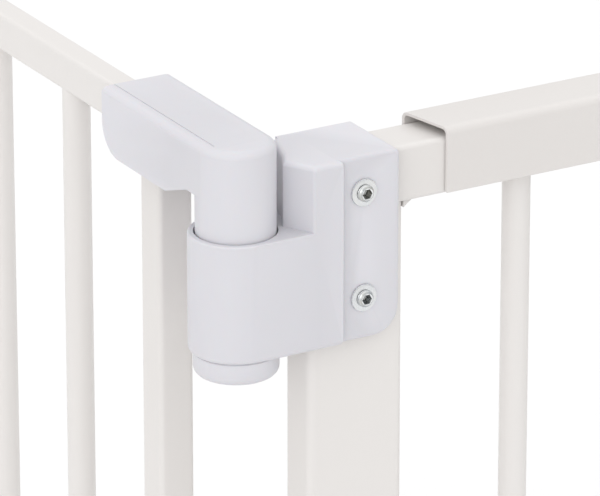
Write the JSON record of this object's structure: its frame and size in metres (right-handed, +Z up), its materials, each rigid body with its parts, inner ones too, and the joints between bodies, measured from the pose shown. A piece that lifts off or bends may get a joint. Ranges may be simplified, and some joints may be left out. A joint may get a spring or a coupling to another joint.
{
  "type": "safety gate",
  "caption": "Pressure-fit walk-through safety gate: a white barred door on barrel hinges, in a steel U-frame with a telescoping barred side panel.",
  "frame": {"origin": "on the floor, on the underside of the threshold bar, below the hinge axis", "axes": "+X along the frame from the door towards the side panel, +Y towards the side the door is shown open to, +Z up"},
  "size_m": [1.025, 0.6362, 0.7642],
  "materials": {
    "frame_coating": "cream-white satin powder coat on steel tube",
    "moulded_plastic": "cool white satin moulded polypropylene",
    "zinc_plating": "bright zinc-plated steel",
    "wall_pad": "light grey matt rubber"
  },
  "bodies": {
    "frame": {"hinge_post": "frame_coating", "inner_bottom_rail": "frame_coating", "inner_top_rail": "frame_coating", "latch_keeper": "moulded_plastic", "latch_post": "frame_coating", "lower_bolt_1": "zinc_plating", "lower_bolt_2": "zinc_plating", "lower_bracket": "moulded_plastic", "lower_bracket_back": "moulded_plastic", "lower_nut_1": "zinc_plating", "lower_nut_2": "zinc_plating", "lower_washer_1": "zinc_plating", "lower_washer_2": "zinc_plating", "side_bar_1": "frame_coating", "side_bar_2": "frame_coating", "threshold_bar": "frame_coating", "upper_bolt_1": "zinc_plating", "upper_bolt_2": "zinc_plating", "upper_bracket": "moulded_plastic", "upper_bracket_back": "moulded_plastic", "upper_nut_1": "zinc_plating", "upper_nut_2": "zinc_plating", "upper_washer_1": "zinc_plating", "upper_washer_2": "zinc_plating"},
    "door": {"door_bar_1": "frame_coating", "door_bar_2": "frame_coating", "door_bar_3": "frame_coating", "door_bar_4": "frame_coating", "door_bar_5": "frame_coating", "door_bar_6": "frame_coating", "door_bottom_rail": "frame_coating", "door_top_rail": "frame_coating", "hinge_end_cap": "moulded_plastic", "hinge_pin": "zinc_plating", "hinge_stile": "frame_coating", "latch_housing": "moulded_plastic", "latch_stile": "frame_coating", "lower_hinge_arm": "moulded_plastic", "upper_hinge_arm": "moulded_plastic"},
    "latch": {"latch_bolt": "moulded_plastic", "latch_slider": "moulded_plastic"},
    "button": {"release_button": "moulded_plastic"},
    "side_panel": {"outer_bar": "frame_coating", "outer_bottom_channel": "frame_coating", "outer_top_channel": "frame_coating", "wall_post": "frame_coating", "wall_post_cap": "moulded_plastic", "wall_post_foot": "moulded_plastic"},
    "latch_side_upper_adjuster": {"latch_side_upper_wheel": "moulded_plastic"},
    "latch_side_upper_foot": {"latch_side_upper_spindle": "zinc_plating", "latch_side_upper_cup": "wall_pad"},
    "latch_side_lower_adjuster": {"latch_side_lower_wheel": "moulded_plastic"},
    "latch_side_lower_foot": {"latch_side_lower_spindle": "zinc_plating", "latch_side_lower_cup": "wall_pad"},
    "panel_side_upper_adjuster": {"panel_side_upper_wheel": "moulded_plastic"},
    "panel_side_upper_foot": {"panel_side_upper_spindle": "zinc_plating", "panel_side_upper_cup": "wall_pad"},
    "panel_side_lower_adjuster": {"panel_side_lower_wheel": "moulded_plastic"},
    "panel_side_lower_foot": {"panel_side_lower_spindle": "zinc_plating", "panel_side_lower_cup": "wall_pad"}
  },
  "joints": [
    {"name": "door_swing", "type": "hinge", "parent": "frame", "child": "door", "pos_m": [0, 0, 0.4], "axis": [0, 0, 1], "range_deg": [0, 180]},
    {"name": "latch_slide", "type": "slide", "parent": "door", "child": "latch", "axis": [0, 1, 0], "range_m": [0, 0.012]},
    {"name": "button_press", "type": "slide", "parent": "door", "child": "button", "axis": [1, 0, 0], "range_m": [0, 0.003], "stiffness_N_per_m": 300, "springref_m": -0.003},
    {"name": "panel_extend", "type": "slide", "parent": "frame", "child": "side_panel", "axis": [1, 0, 0], "range_m": [0, 0.045]},
    {"name": "latch_side_upper_wheel_turn", "type": "hinge", "parent": "frame", "child": "latch_side_upper_adjuster", "pos_m": [-0.65, 0, 0.66], "axis": [-1, 0, 0], "range_deg": [0, 1800]},
    {"name": "latch_side_upper_foot_push", "type": "slide", "parent": "frame", "child": "latch_side_upper_foot", "axis": [-1, 0, 0], "range_m": [0, 0.0151]},
    {"name": "latch_side_lower_wheel_turn", "type": "hinge", "parent": "frame", "child": "latch_side_lower_adjuster", "pos_m": [-0.65, 0, 0.1], "axis": [-1, 0, 0], "range_deg": [0, 1800]},
    {"name": "latch_side_lower_foot_push", "type": "slide", "parent": "frame", "child": "latch_side_lower_foot", "axis": [-1, 0, 0], "range_m": [0, 0.0151]},
    {"name": "panel_side_upper_wheel_turn", "type": "hinge", "parent": "side_panel", "child": "panel_side_upper_adjuster", "pos_m": [0.315, 0, 0.66], "axis": [1, 0, 0], "range_deg": [0, 1800]},
    {"name": "panel_side_upper_foot_push", "type": "slide", "parent": "side_panel", "child": "panel_side_upper_foot", "axis": [1, 0, 0], "range_m": [0, 0.0151]},
    {"name": "panel_side_lower_wheel_turn", "type": "hinge", "parent": "side_panel", "child": "panel_side_lower_adjuster", "pos_m": [0.315, 0, 0.1], "axis": [1, 0, 0], "range_deg": [0, 1800]},
    {"name": "panel_side_lower_foot_push", "type": "slide", "parent": "side_panel", "child": "panel_side_lower_foot", "axis": [1, 0, 0], "range_m": [0, 0.0151]}
  ],
  "couplings": [
    {"joint": "latch_side_upper_foot_push", "follows": "latch_side_upper_wheel_turn", "m_per_rad": 0.00047746},
    {"joint": "latch_side_lower_foot_push", "follows": "latch_side_lower_wheel_turn", "m_per_rad": 0.00047746},
    {"joint": "panel_side_upper_foot_push", "follows": "panel_side_upper_wheel_turn", "m_per_rad": 0.00047746},
    {"joint": "panel_side_lower_foot_push", "follows": "panel_side_lower_wheel_turn", "m_per_rad": 0.00047746}
  ]
}
